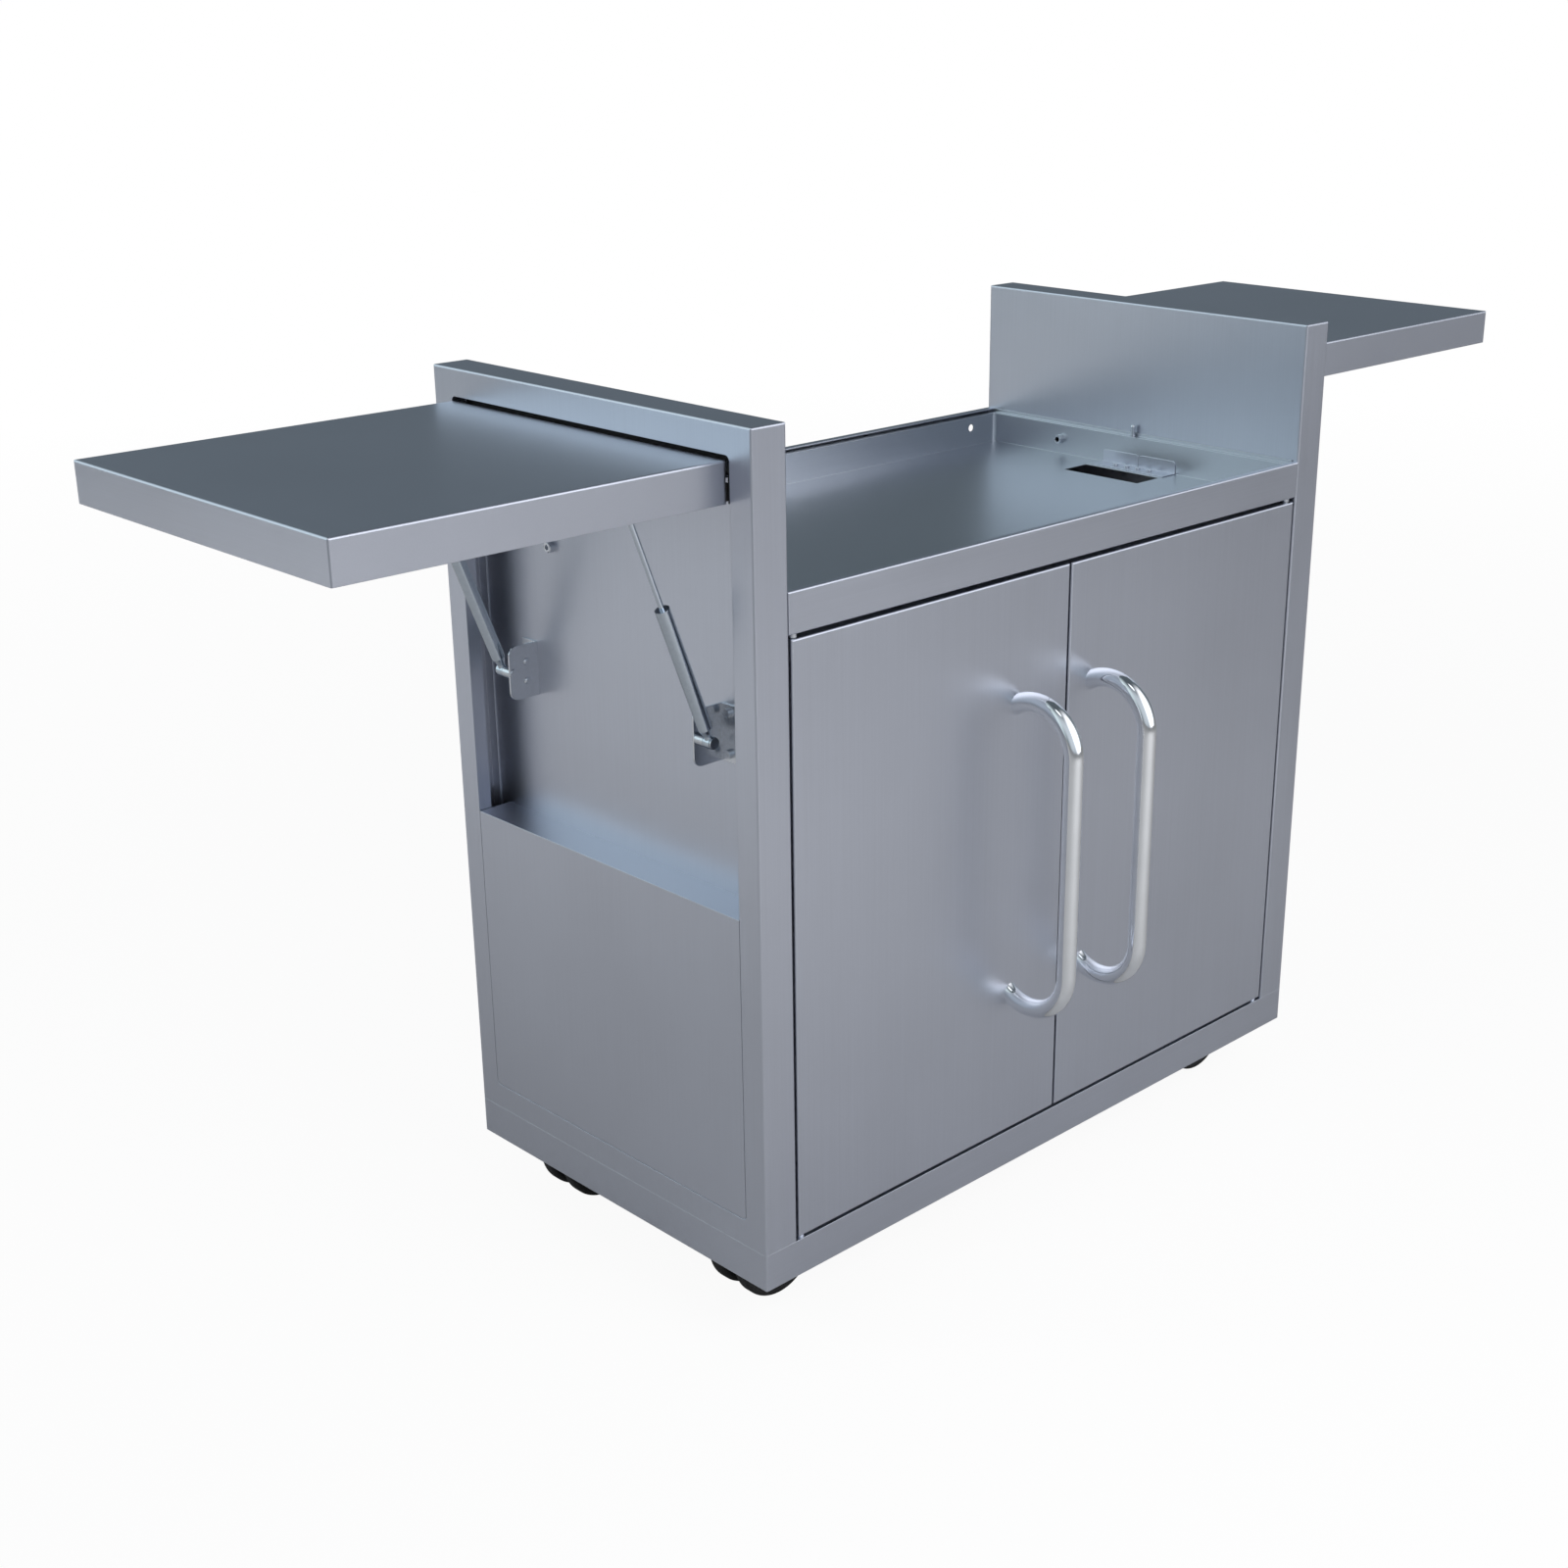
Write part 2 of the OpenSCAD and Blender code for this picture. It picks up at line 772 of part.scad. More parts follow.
module shelf_pan() {
    low = [half_w, -shelf_w / 2, shelf_top - shelf_h];
    high = [shelf_tip, shelf_w / 2, shelf_top];
    inside = shelf_w / 2 - sheet;
    color(steel) difference() {
        top_folded(low, high, fold_r);
        block([low.x + sheet, -inside, low.z + sheet], [high.x - sheet, inside, shelf_skin]);
        block([low.x + hem_w, low.y + hem_w, low.z - over],
            [high.x - hem_w, high.y - hem_w, low.z + sheet + over]);
        both_ends() block([low.x - over, inside - arm_t - notch_play, hinge_z - arm_r - notch_play],
            [low.x + sheet + over, inside, shelf_skin]);
    }
}

// Arms inside the skirts that carry the pivot bores
module shelf_arms() {
    inside = shelf_w / 2 - sheet;
    color(zinc) both_ends() difference() {
        along_y(inside - arm_t, inside) {
            translate([hinge_x, hinge_z]) circle(r = arm_r);
            rect([hinge_x, hinge_z - arm_r], [half_w + arm_in, hinge_z + arm_r]);
        }
        rod_y(hinge_x, hinge_z, inside - arm_t - over, inside + over, shelf_pin_d + 2 * pin_play);
    }
}

module shelf_stiffener() {
    half = stiff_w / 2;
    color(steel) along_x(half_w + stiff_inset, shelf_tip - stiff_inset) {
        difference() {
            rect([-half, shelf_skin - stiff_h], [half, shelf_skin]);
            rect([-half + sheet, shelf_skin - stiff_h + sheet], [half - sheet, shelf_skin + over]);
        }
        for (side = [-1, 1]) translate([side * (half + stiff_flange / 2), shelf_skin - sheet / 2])
            square([stiff_flange, sheet], center = true);
    }
}

// Angles under the shelf's skin beside the upper end of each strut
module shelf_brackets() {
    face = strut_y - bracket_gap;
    low = head_x - shelf_bracket_in;
    high = low + shelf_bracket_l;
    foot = hinge_z - shelf_bracket_drop;
    color(zinc) both_ends() {
        along_y(face - bracket_t, face) intersection() {
            round_rect([low, foot], [high, shelf_skin + 2 * bracket_r], bracket_r);
            rect([low, foot], [high, shelf_skin]);
        }
        block([low, face - shelf_bracket_leg, shelf_skin - bracket_t], [high, face - bracket_t, shelf_skin]);
        for (x = [low + rivet_head_d, high - rivet_head_d])
            rod_z(x, face - bracket_t - shelf_bracket_leg / 2, shelf_skin - bracket_t - rivet_head_h,
                shelf_skin, rivet_head_d);
    }
}

module shelf_pivot_pins() {
    low = shelf_w / 2 - sheet - arm_t;
    color(zinc) both_sides() both_ends() {
        rod_y(hinge_x, hinge_z, low, opening_y + sheet + pin_head_t, shelf_pin_d);
        rod_y(hinge_x, hinge_z, opening_y + sheet, opening_y + sheet + pin_head_t, pin_head_d);
    }
}

module shelf_pivot_washers() {
    low = shelf_w / 2 - sheet + face_play;
    color(white_nylon) both_sides() both_ends() difference() {
        rod_y(hinge_x, hinge_z, low, opening_y, washer_d);
        rod_y(hinge_x, hinge_z, low - over, opening_y + over, shelf_pin_d + 2 * pin_play);
    }
}

module shelf_bumpers() {
    wall = inner_x + sheet;
    color(rubber) both_sides() block([wall, bumper_y - bumper_w / 2, bumper_z - bumper_h / 2],
        [wall + bumper_d, bumper_y + bumper_w / 2, bumper_z + bumper_h / 2]);
}

// Gas struts

module strut_foot_bracket() {
    wall = inner_x + sheet;
    face = strut_y - bracket_gap;
    low = strut_foot_z - bracket_half_h;
    high = strut_foot_z + bracket_half_h;
    difference() {
        union() {
            along_y(face - bracket_t, face) intersection() {
                round_rect([wall - 2 * bracket_r, low], [wall + bracket_out, high], bracket_r);
                rect([wall, low], [wall + bracket_out, high]);
            }
            block([wall, face - bracket_t, low], [wall + bracket_t, face - bracket_t + bracket_leg, high]);
        }
        rod_y(foot_x, strut_foot_z, face - bracket_t - over, face + over, stud_d + 2 * pin_play);
        for (side = [-1, 1])
            rod_y(wall + bracket_hole_in, strut_foot_z + side * bracket_hole_z, face - bracket_t - over,
                face + over, bracket_hole_d);
        bracket_bolt_places() rod_x(0, 0, 0, sheet + bracket_t + over, bracket_bolt_d + 2 * bolt_play);
    }
}

module strut_foot_brackets() {
    color(zinc) both_sides() both_ends() strut_foot_bracket();
}

module bracket_bolt_places() {
    y = strut_y - bracket_bolt_y;
    both_ends() for (side = [-1, 1]) translate([inner_x, y, strut_foot_z + side * bracket_bolt_z]) children();
}

module bracket_bolts() {
    color(zinc) both_sides() bracket_bolt_places() {
        rod_x(0, 0, -bracket_nut_h, sheet + bracket_t + bracket_head_h, bracket_bolt_d);
        rod_x(0, 0, sheet + bracket_t, sheet + bracket_t + bracket_head_h, bracket_head_d);
        rod_x(0, 0, -bracket_nut_h, 0, bracket_head_d);
    }
}

module strut_foot_studs() {
    face = strut_y - bracket_gap;
    eye_low = strut_y - eye_w / 2 - face_play;
    eye_high = strut_y + eye_w / 2 + face_play;
    color(zinc) both_sides() both_ends() {
        rod_y(foot_x, strut_foot_z, face - bracket_t - stud_rivet_h, eye_high + stud_clip_t, stud_d);
        rod_y(foot_x, strut_foot_z, face - bracket_t - stud_rivet_h, face - bracket_t, stud_rivet_d);
        rod_y(foot_x, strut_foot_z, face, eye_low, stud_shoulder_d);
        rod_y(foot_x, strut_foot_z, eye_high, eye_high + stud_clip_t, stud_clip_d);
    }
}

// A strut is drawn standing on its lower pivot and then leant out to the shelf
module on_strut() {
    translate([foot_x, strut_y, strut_foot_z]) rotate([0, strut_lean, 0]) children();
}

module strut_cylinder() {
    bore = strut_d - 2 * strut_wall;
    color(zinc) on_strut() difference() {
        union() {
            rod_y(0, 0, -eye_w / 2, eye_w / 2, 2 * eye_r);
            rod_z(0, 0, 0, strut_neck, neck_d);
            translate([0, 0, strut_neck]) cylinder(d1 = neck_d, d2 = strut_d, h = strut_cone - strut_neck);
            rod_z(0, 0, strut_cone, cylinder_l, strut_d);
        }
        rod_y(0, 0, -strut_d, strut_d, stud_d + 2 * pin_play);
        rod_z(0, 0, strut_plug, cylinder_l - gland_l, bore);
        rod_z(0, 0, cylinder_l - gland_l - over, cylinder_l + over, rod_d + 2 * pin_play);
    }
}

module strut_rod() {
    bore = strut_d - 2 * strut_wall;
    inner_end = cylinder_l - rod_inside;
    color(chrome) on_strut() {
        rod_z(0, 0, inner_end, inner_end + piston_l, bore - 2 * piston_play);
        rod_z(0, 0, inner_end, strut_open, rod_d);
        rod_z(0, 0, strut_open - socket_l, strut_open, socket_d);
        rod_y(0, strut_open, -head_eye_w / 2, head_eye_w / 2, 2 * head_eye_r);
        rod_y(0, strut_open, -bracket_gap + face_play, 0, head_pin_d);
    }
}

// Casters

module caster_place() {
    translate([caster_x, caster_y, 0]) children();
}

module all_casters() {
    both_sides() both_ends() caster_place() children();
}

module caster_bolt_places() {
    all_casters() for (x = [-plate_bolt_x, plate_bolt_x], y = [-plate_bolt_y, plate_bolt_y])
        translate([x, y, 0]) children();
}

module caster_plates() {
    color(black) all_casters() difference() {
        upright(caster_h - plate_t, caster_h)
            round_rect([-plate_l / 2, -plate_w / 2], [plate_l / 2, plate_w / 2], plate_bolt_d);
        rod_z(0, 0, caster_h - plate_t - over, caster_h + over, kingpin_d + 2 * pin_play);
        for (x = [-plate_bolt_x, plate_bolt_x], y = [-plate_bolt_y, plate_bolt_y])
            rod_z(x, y, caster_h - plate_t - over, caster_h + over, plate_bolt_d + 2 * bolt_play);
    }
}

module caster_bolts() {
    low = caster_h - plate_t - bolt_head_h;
    top = caster_h + floor_rise;
    color(zinc) caster_bolt_places() {
        rod_z(0, 0, low, top + bolt_head_h, plate_bolt_d);
        for (z = [low, top]) translate([0, 0, z]) cylinder(d = bolt_head_d, h = bolt_head_h, $fn = 6);
    }
}

module kingpins() {
    color(zinc) all_casters() rod_z(0, 0, caster_h - plate_t - kingpin_in, caster_h, kingpin_d);
}

// Two circles and the outline between their common tangents
module link_outline(start, start_r, end, end_r) {
    run = end - start;
    turn = atan2(run.y, run.x);
    spread = acos((start_r - end_r) / norm(run));
    translate(start) circle(r = start_r);
    translate(end) circle(r = end_r);
    polygon([
        start + start_r * [cos(turn + spread), sin(turn + spread)],
        start + start_r * [cos(turn - spread), sin(turn - spread)],
        end + end_r * [cos(turn - spread), sin(turn - spread)],
        end + end_r * [cos(turn + spread), sin(turn + spread)]
    ]);
}

module caster_hub() {
    axle = [caster_trail, wheel_d / 2];
    color(black) caster_place() difference() {
        union() {
            rod_z(0, 0, head_z, head_top, head_d);
            along_y(-hub_t / 2, hub_t / 2) link_outline([neck_x, head_z - neck_r / 2], neck_r, axle, hub_r);
        }
        rod_z(0, 0, head_top - kingpin_in - face_play, head_top + over, kingpin_d + 2 * pin_play);
        rod_y(axle.x, axle.y, -hub_t, hub_t, axle_d + 2 * pin_play);
    }
}

// Section of one wheel: radius to the right, width upwards, outer face at the top
module wheel_section() {
    rim = wheel_d / 2;
    bore = axle_d / 2 + pin_play;
    difference() {
        union() {
            rect([bore, 0], [rim - shoulder_r, wheel_w]);
            rect([rim - shoulder_r, shoulder_r], [rim, wheel_w - shoulder_r]);
            for (w = [shoulder_r, wheel_w - shoulder_r])
                translate([rim - shoulder_r, w]) circle(r = shoulder_r);
        }
        rect([boss_r, wheel_w - dish], [rim - tread_t, wheel_w + over]);
    }
}

module caster_wheels() {
    axle_half = wheel_gap / 2 + wheel_w - dish;
    color(rubber) caster_place() translate([caster_trail, 0, wheel_d / 2]) {
        both_ends() translate([0, wheel_gap / 2, 0]) rotate([-90, 0, 0]) rotate_extrude() wheel_section();
        rod_y(0, 0, -axle_half, axle_half, axle_d);
    }
}

placed() on_left() tower_shell();  // left_tower_shell
placed() tower_shell();  // right_tower_shell
placed() tower_liners();
placed() lower_panels();
placed() plinth();
placed() base_floor();
placed() back_panel();
placed() front_rail();
placed() rear_rail();
placed() tray_rests();
placed() griddle_tray();
placed() slot_flaps();
placed() flap_screws();
placed() hose_bushing();
placed() locating_pins();
placed() door_pivot_pins();
placed() door_magnets();
placed() strut_foot_brackets();
placed() bracket_bolts();
placed() strut_foot_studs();
placed() shelf_pivot_pins();
placed() shelf_pivot_washers();
placed() shelf_bumpers();
placed() caster_plates();
placed() caster_bolts();
placed() kingpins();
placed() on_left() door_skin(left_handle_x);  // left_door_skin
placed() on_left() door_liner();  // left_door_liner
placed() on_left() handle(left_handle_x);  // left_handle
placed() on_left() handle_screws(left_handle_x);  // left_handle_screws
placed() on_left() door_bushes();  // left_door_bushes
placed() door_skin(right_handle_x);  // right_door_skin
placed() door_liner();  // right_door_liner
placed() handle(right_handle_x);  // right_handle
placed() handle_screws(right_handle_x);  // right_handle_screws
placed() door_bushes();  // right_door_bushes
placed() on_left() shelf_pan();  // left_shelf_pan
placed() on_left() shelf_arms();  // left_shelf_arms
placed() on_left() shelf_stiffener();  // left_shelf_stiffener
placed() on_left() shelf_brackets();  // left_shelf_brackets
placed() shelf_pan();  // right_shelf_pan
placed() shelf_arms();  // right_shelf_arms
placed() shelf_stiffener();  // right_shelf_stiffener
placed() shelf_brackets();  // right_shelf_brackets
placed() on_left() on_front() strut_cylinder();  // left_front_cylinder
placed() on_left() on_front() strut_rod();  // left_front_rod
placed() on_left() strut_cylinder();  // left_rear_cylinder
placed() on_left() strut_rod();  // left_rear_rod
placed() on_front() strut_cylinder();  // right_front_cylinder
placed() on_front() strut_rod();  // right_front_rod
placed() strut_cylinder();  // right_rear_cylinder
placed() strut_rod();  // right_rear_rod
placed() on_left() on_front() caster_hub();  // left_front_caster
placed() on_left() on_front() caster_wheels();  // left_front_wheels
placed() on_left() caster_hub();  // left_rear_caster
placed() on_left() caster_wheels();  // left_rear_wheels
placed() on_front() caster_hub();  // right_front_caster
placed() on_front() caster_wheels();  // right_front_wheels
placed() caster_hub();  // right_rear_caster
placed() caster_wheels();  // right_rear_wheels
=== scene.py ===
import json
import math

import bmesh
import bpy
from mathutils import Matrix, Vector


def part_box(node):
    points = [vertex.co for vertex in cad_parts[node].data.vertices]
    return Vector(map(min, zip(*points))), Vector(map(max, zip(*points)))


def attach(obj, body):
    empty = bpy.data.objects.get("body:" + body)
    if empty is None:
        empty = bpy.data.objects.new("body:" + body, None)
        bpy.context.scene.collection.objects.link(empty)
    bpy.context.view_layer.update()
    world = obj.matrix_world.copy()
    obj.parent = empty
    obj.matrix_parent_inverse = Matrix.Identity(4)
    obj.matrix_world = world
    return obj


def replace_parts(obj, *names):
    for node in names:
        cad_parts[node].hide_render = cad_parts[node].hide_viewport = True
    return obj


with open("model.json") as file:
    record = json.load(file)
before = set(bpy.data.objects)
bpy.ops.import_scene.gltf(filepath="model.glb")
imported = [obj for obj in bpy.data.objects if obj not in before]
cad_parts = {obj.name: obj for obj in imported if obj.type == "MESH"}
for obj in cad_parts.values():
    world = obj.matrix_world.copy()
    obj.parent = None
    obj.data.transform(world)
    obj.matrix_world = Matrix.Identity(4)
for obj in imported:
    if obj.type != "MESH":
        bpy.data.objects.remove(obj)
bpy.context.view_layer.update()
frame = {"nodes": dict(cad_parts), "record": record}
nodes = frame["nodes"]

MM = 0.001
CABINET_Y = 42.5 * MM  # the cabinet's middle plane lies this far behind the origin


# Node helpers

def new_material(name):
    """An empty node material and its Principled shader."""
    material = bpy.data.materials.new(name)
    material.use_nodes = True
    tree = material.node_tree
    tree.nodes.clear()
    output = tree.nodes.new("ShaderNodeOutputMaterial")
    shader = tree.nodes.new("ShaderNodeBsdfPrincipled")
    tree.links.new(shader.outputs["BSDF"], output.inputs["Surface"])
    return material, tree, shader


def coordinates(tree, scale=(1.0, 1.0, 1.0)):
    """Object coordinates in metres, stretched by scale."""
    source = tree.nodes.new("ShaderNodeTexCoord")
    mapping = tree.nodes.new("ShaderNodeMapping")
    mapping.inputs["Scale"].default_value = scale
    tree.links.new(source.outputs["Object"], mapping.inputs["Vector"])
    return mapping.outputs["Vector"]


def noise(tree, vector, scale, detail):
    """Smooth noise between 0 and 1."""
    node = tree.nodes.new("ShaderNodeTexNoise")
    node.inputs["Scale"].default_value = scale
    node.inputs["Detail"].default_value = detail
    tree.links.new(vector, node.inputs["Vector"])
    return node.outputs["Fac"]


NOISE_RANGE = (0.3, 0.7)  # where nearly all of a noise texture's values lie


def remap(tree, value, low, high, from_low=NOISE_RANGE[0], from_high=NOISE_RANGE[1]):
    """Stretches value, from the range that noise has if no other is given, to low and high."""
    node = tree.nodes.new("ShaderNodeMapRange")
    node.inputs["From Min"].default_value = from_low
    node.inputs["From Max"].default_value = from_high
    node.inputs["To Min"].default_value = low
    node.inputs["To Max"].default_value = high
    tree.links.new(value, node.inputs["Value"])
    return node.outputs["Result"]


def math_node(tree, operation, first, second):
    """One calculation with two values, each a number or a socket."""
    node = tree.nodes.new("ShaderNodeMath")
    node.operation = operation
    for value, socket in ((first, node.inputs[0]), (second, node.inputs[1])):
        if isinstance(value, (int, float)):
            socket.default_value = value
        else:
            tree.links.new(value, socket)
    return node.outputs["Value"]


def mix_colour(tree, factor, first, second):
    """first where factor is 0 and second where it is 1, each a colour or a socket."""
    node = tree.nodes.new("ShaderNodeMix")
    node.data_type = "RGBA"
    tree.links.new(factor, node.inputs["Factor"])
    for value, socket in ((first, node.inputs["A"]), (second, node.inputs["B"])):
        if isinstance(value, (tuple, list)):
            socket.default_value = (*value, 1.0)
        else:
            tree.links.new(value, socket)
    return node.outputs["Result"]


EDGE_DOT = (0.86, 0.995)  # how far the rounded normal agrees with the flat one on an edge and beside it
BEVEL_SAMPLES = 6


def edge_mask(tree, rounded):
    """1 on a fold or cut edge and 0 on the flats, from the rounded normal."""
    flat = tree.nodes.new("ShaderNodeNewGeometry")
    dot = tree.nodes.new("ShaderNodeVectorMath")
    dot.operation = "DOT_PRODUCT"
    tree.links.new(flat.outputs["Normal"], dot.inputs[0])
    tree.links.new(rounded, dot.inputs[1])
    return remap(tree, dot.outputs["Value"], 1.0, 0.0, *EDGE_DOT)


def shade(colour, factor):
    """The colour made darker or lighter, and at most white."""
    return tuple(min(c * factor, 1.0) for c in colour)


def rounded_normal(tree, radius):
    """The surface's normal with its edges rounded."""
    bevel = tree.nodes.new("ShaderNodeBevel")
    bevel.samples = BEVEL_SAMPLES
    bevel.inputs["Radius"].default_value = radius
    return bevel.outputs["Normal"]


def bump(tree, height, strength, distance, normal):
    """Fine relief on top of the rounded normal."""
    node = tree.nodes.new("ShaderNodeBump")
    node.inputs["Strength"].default_value = strength
    node.inputs["Distance"].default_value = distance
    tree.links.new(height, node.inputs["Height"])
    tree.links.new(normal, node.inputs["Normal"])
    return node.outputs["Normal"]


# Materials

GRAIN_ACROSS = 900.0
GRAIN_ALONG = 6.0
GRAINS = {
    "along_x": (GRAIN_ALONG, GRAIN_ACROSS, GRAIN_ACROSS),
    "along_y": (GRAIN_ACROSS, GRAIN_ALONG, GRAIN_ACROSS),
    "along_z": (GRAIN_ACROSS, GRAIN_ACROSS, GRAIN_ALONG),
}

STEEL_FOLD = 0.7 * MM              # radius of a fold
# pale colour on the folds: a painted highlight, partly rubbed wear
STEEL_WEAR_AND_HIGHLIGHT = (0.90, 0.94, 0.98)
STEEL_WEAR_AND_HIGHLIGHT_SHARE = 0.25                   # how far the folds turn to the colour of rubbed wear and painted highlight
STEEL_CLOUD_SCALE = 5.0
STEEL_SPECK_SCALE = 900.0
STEEL_TONES = (0.965, 1.035)       # darkest and lightest share of the sheet's colour
STEEL_GRAIN_ROUGHNESS = 0.02       # roughness varies by this much with the grain
STEEL_CLOUD_ROUGHNESS = 0.012      # and by this much with the clouds
STEEL_RELIEF = (0.04, 0.05 * MM)   # strength and height
STEEL_RELIEF_SHARES = (0.6, 0.4)   # of the grain and of the specks in the relief


def brushed_steel(name, colour, roughness, grain):
    """Satin sheet: fine grain in one direction, cloudy roughness and folds lightened by a painted highlight
    and slight rubbed wear.
    """
    material, tree, shader = new_material(name)
    fine = noise(tree, coordinates(tree, GRAINS[grain]), 1.0, detail=2.0)
    cloud = noise(tree, coordinates(tree), STEEL_CLOUD_SCALE, detail=3.0)
    speck = noise(tree, coordinates(tree), STEEL_SPECK_SCALE, detail=1.0)
    normal = rounded_normal(tree, STEEL_FOLD)
    # painted highlight on the folds, together with some rubbed wear
    wear_and_highlight = math_node(tree, "MULTIPLY", edge_mask(tree, normal), STEEL_WEAR_AND_HIGHLIGHT_SHARE)
    tone = math_node(tree, "ADD", remap(tree, fine, 0.0, 0.5), remap(tree, cloud, 0.0, 0.5))
    base = mix_colour(tree, tone, *(shade(colour, factor) for factor in STEEL_TONES))
    base = mix_colour(tree, wear_and_highlight, base, STEEL_WEAR_AND_HIGHLIGHT)
    tree.links.new(base, shader.inputs["Base Color"])
    grainy = remap(tree, fine, roughness - STEEL_GRAIN_ROUGHNESS, roughness + STEEL_GRAIN_ROUGHNESS)
    cloudy = remap(tree, cloud, -STEEL_CLOUD_ROUGHNESS, STEEL_CLOUD_ROUGHNESS)
    tree.links.new(math_node(tree, "ADD", grainy, cloudy), shader.inputs["Roughness"])
    parts = [math_node(tree, "MULTIPLY", texture, share)
             for texture, share in zip((fine, speck), STEEL_RELIEF_SHARES)]
    height = math_node(tree, "ADD", *parts)
    tree.links.new(bump(tree, height, *STEEL_RELIEF, normal), shader.inputs["Normal"])
    shader.inputs["Metallic"].default_value = 1.0
    return material


CHROME_HAZE_SCALE = 30.0
CHROME_MARKS = (40.0, 40.0, 900.0)  # scale of the turning marks, fine along an upright tube
CHROME_DULLER = 0.94                # share of the colour where it is darkest
CHROME_ROUGHNESS = (0.07, 0.11)
CHROME_MARK_ROUGHNESS = 0.03        # what the marks add to it


def chrome(name, colour):
    """Polished tube with faint turning marks and a little haze."""
    material, tree, shader = new_material(name)
    haze = noise(tree, coordinates(tree), CHROME_HAZE_SCALE, detail=4.0)
    marks = noise(tree, coordinates(tree, CHROME_MARKS), 1.0, detail=2.0)
    base = mix_colour(tree, remap(tree, haze, 0.0, 1.0), shade(colour, CHROME_DULLER), colour)
    tree.links.new(base, shader.inputs["Base Color"])
    hazy = remap(tree, haze, *CHROME_ROUGHNESS)
    marked = remap(tree, marks, 0.0, CHROME_MARK_ROUGHNESS)
    tree.links.new(math_node(tree, "ADD", hazy, marked), shader.inputs["Roughness"])
    shader.inputs["Metallic"].default_value = 1.0
    return material


ZINC_EDGE = 0.4 * MM            # radius of an edge
# pale colour on the edges: a painted highlight, partly rubbed wear
ZINC_WEAR_AND_HIGHLIGHT = (0.84, 0.88, 0.92)
ZINC_WEAR_AND_HIGHLIGHT_SHARE = 0.35                 # how far the edges turn to the colour of rubbed wear and painted highlight
ZINC_CRYSTAL_SCALE = 260.0
ZINC_DULLER = 0.92              # share of the colour in the darkest crystals
ZINC_ROUGHNESS_RANGE = 0.03     # roughness varies by this much with the crystals
ZINC_RELIEF = (0.05, 0.1 * MM)  # strength and height


def zinc(name, colour, roughness):
    """Plated hardware: faint crystals, satin, and a painted highlight on its edges that is partly rubbed
    wear.
    """
    material, tree, shader = new_material(name)
    crystals = noise(tree, coordinates(tree), ZINC_CRYSTAL_SCALE, detail=4.0)
    normal = rounded_normal(tree, ZINC_EDGE)
    # painted highlight on the edges, together with some rubbed wear
    wear_and_highlight = math_node(tree, "MULTIPLY", edge_mask(tree, normal), ZINC_WEAR_AND_HIGHLIGHT_SHARE)
    base = mix_colour(tree, remap(tree, crystals, 0.0, 1.0), shade(colour, ZINC_DULLER), colour)
    tree.links.new(mix_colour(tree, wear_and_highlight, base, ZINC_WEAR_AND_HIGHLIGHT), shader.inputs["Base Color"])
    satin = remap(tree, crystals, roughness - ZINC_ROUGHNESS_RANGE, roughness + ZINC_ROUGHNESS_RANGE)
    tree.links.new(satin, shader.inputs["Roughness"])
    tree.links.new(bump(tree, crystals, *ZINC_RELIEF, normal), shader.inputs["Normal"])
    shader.inputs["Metallic"].default_value = 1.0
    return material


DULL_EDGE = 0.8 * MM             # radius of an edge
DULL_TONES = (0.75, 1.25)        # darkest and lightest share of the colour
DULL_WEAR_AND_HIGHLIGHT_TONE = 2.0             # the same for an edge lightened by rubbed wear and a painted highlight
DULL_WEAR_AND_HIGHLIGHT_SHARE = 0.6                   # how far the edges turn to that painted highlight and wear
DULL_CLOUD_SCALE = 14.0
DULL_GRAIN_ROUGHNESS = 0.06      # roughness varies by this much with the grain
DULL_CLOUD_ROUGHNESS = 0.05      # and by this much with the clouds
DULL_RELIEF = (0.25, 0.15 * MM)  # strength and height


def dull(name, colour, roughness, grain_scale):
    """Plastic, rubber or paint: fine texture, uneven gloss and edges lightened by rubbed wear and a painted
    highlight.
    """
    material, tree, shader = new_material(name)
    grain = noise(tree, coordinates(tree), grain_scale, detail=4.0)
    cloud = noise(tree, coordinates(tree), DULL_CLOUD_SCALE, detail=3.0)
    normal = rounded_normal(tree, DULL_EDGE)
    # painted highlight on the edges, together with some rubbed wear
    wear_and_highlight = math_node(tree, "MULTIPLY", edge_mask(tree, normal), DULL_WEAR_AND_HIGHLIGHT_SHARE)
    base = mix_colour(tree, remap(tree, cloud, 0.0, 1.0), *(shade(colour, factor) for factor in DULL_TONES))
    tree.links.new(mix_colour(tree, wear_and_highlight, base, shade(colour, DULL_WEAR_AND_HIGHLIGHT_TONE)), shader.inputs["Base Color"])
    grainy = remap(tree, grain, roughness - DULL_GRAIN_ROUGHNESS, roughness + DULL_GRAIN_ROUGHNESS)
    cloudy = remap(tree, cloud, -DULL_CLOUD_ROUGHNESS, DULL_CLOUD_ROUGHNESS)
    tree.links.new(math_node(tree, "ADD", grainy, cloudy), shader.inputs["Roughness"])
    tree.links.new(bump(tree, grain, *DULL_RELIEF, normal), shader.inputs["Normal"])
    return material


